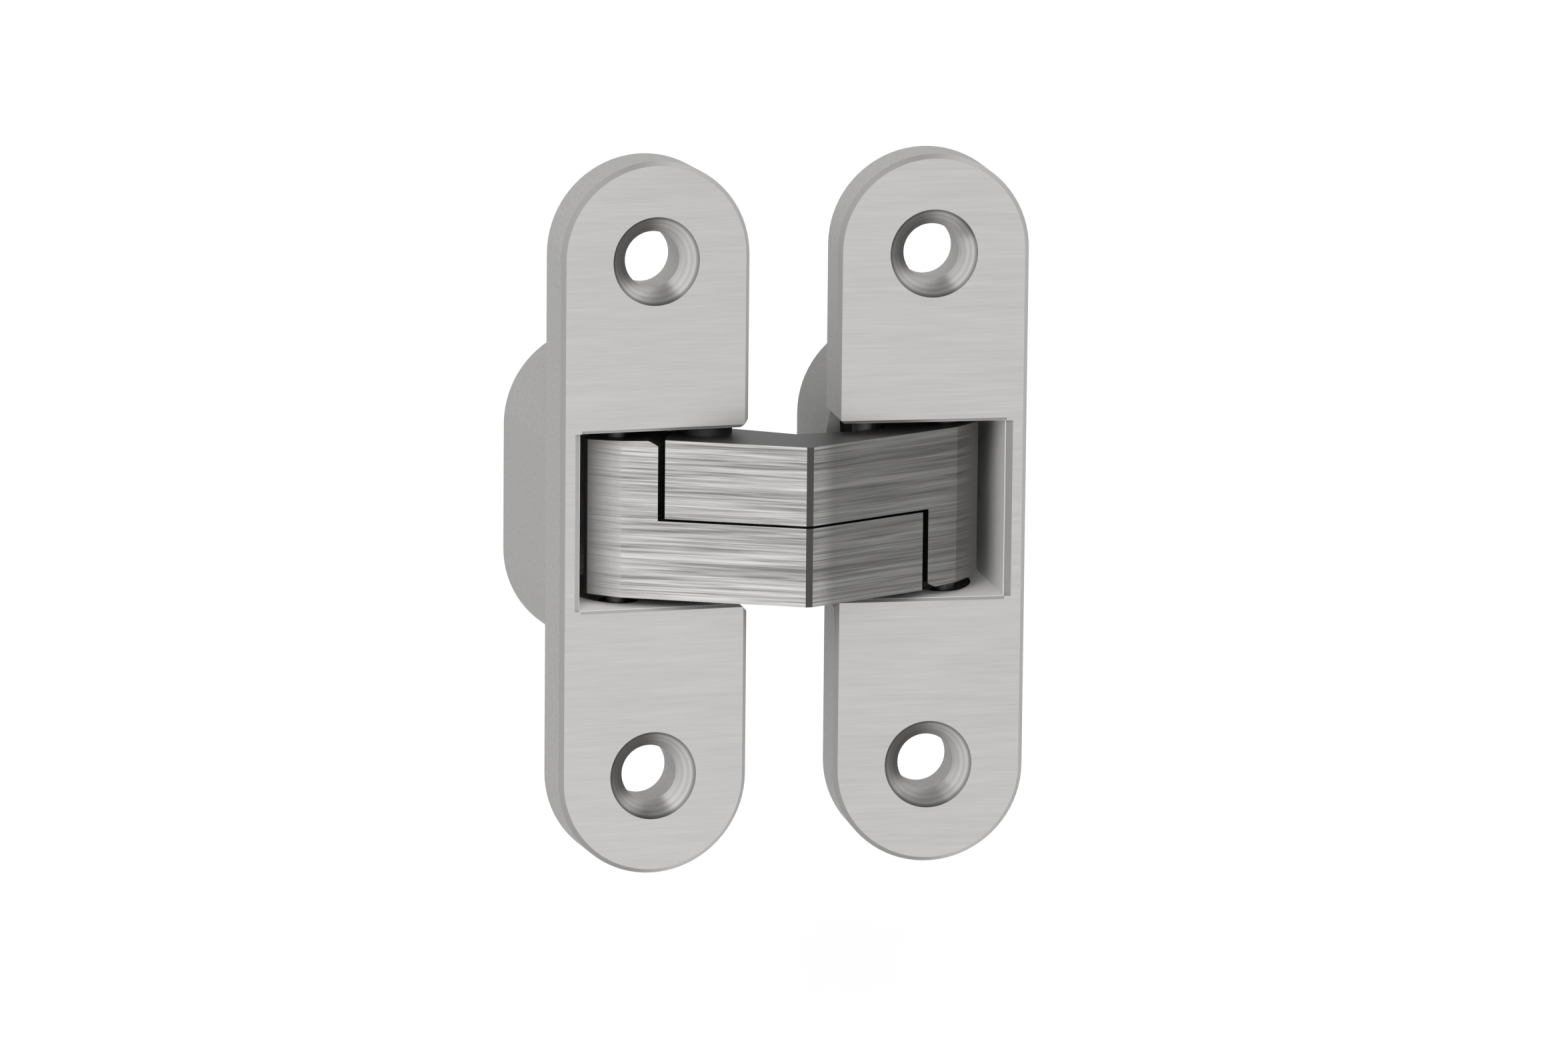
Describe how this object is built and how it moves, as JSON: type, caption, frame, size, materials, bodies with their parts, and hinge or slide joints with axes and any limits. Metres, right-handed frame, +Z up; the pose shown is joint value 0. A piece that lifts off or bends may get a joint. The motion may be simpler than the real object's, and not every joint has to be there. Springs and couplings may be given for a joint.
{
  "type": "concealed door hinge",
  "caption": "Two mortised leaves with round ends, joined by a pair of crossing arms that fold into their pockets so that nothing shows when the door is shut.",
  "frame": {"origin": "centre of the left leaf's two screw holes, in the plane where the back of its plate seats", "axes": "+Z up along the hinge pins, -Y out of the left leaf's face, +X across the left leaf towards the right leaf"},
  "size_m": [0.0568, 0.0342, 0.0816],
  "materials": {
    "leaf_casting": "satin nickel plate on a zinc die casting, brushed across the face",
    "arm_casting": "satin nickel plate, coarsely brushed along the arm",
    "steel_pin": "bright ground steel",
    "polymer": "matt dark acetal"
  },
  "bodies": {
    "left_leaf": {"left_leaf": "leaf_casting", "left_pivot_pin": "steel_pin"},
    "upper_arm": {"upper_arm": "arm_casting", "left_pivot_bush": "polymer", "left_pivot_washer": "polymer", "centre_bush": "polymer", "right_slide_pin": "steel_pin", "right_top_glide": "polymer", "right_bottom_glide": "polymer"},
    "lower_arm": {"lower_arm": "arm_casting", "centre_pin": "steel_pin", "centre_washer": "polymer", "right_pivot_bush": "polymer", "right_pivot_washer": "polymer", "left_slide_pin": "steel_pin", "left_top_glide": "polymer", "left_bottom_glide": "polymer"},
    "right_leaf": {"right_leaf": "leaf_casting", "right_pivot_pin": "steel_pin"}
  },
  "joints": [
    {"name": "left_pivot", "type": "hinge", "parent": "left_leaf", "child": "upper_arm", "pos_m": [0.007, -0.0027, 0], "axis": [0, 0, -1], "range_deg": [-4.01, 108.09]},
    {"name": "knuckle", "type": "hinge", "parent": "upper_arm", "child": "lower_arm", "pos_m": [0.01585, -0.0111, 0], "axis": [0, 0, -1], "range_deg": [-42.62, 1.58]},
    {"name": "right_pivot", "type": "hinge", "parent": "lower_arm", "child": "right_leaf", "pos_m": [0.02558, -0.00375, 0], "axis": [0, 0, -1], "range_deg": [-4.01, 108.09]}
  ],
  "couplings": [
    {"joint": "knuckle", "follows": "left_pivot", "ratio": -0.39429},
    {"joint": "right_pivot", "follows": "left_pivot", "ratio": 1}
  ]
}
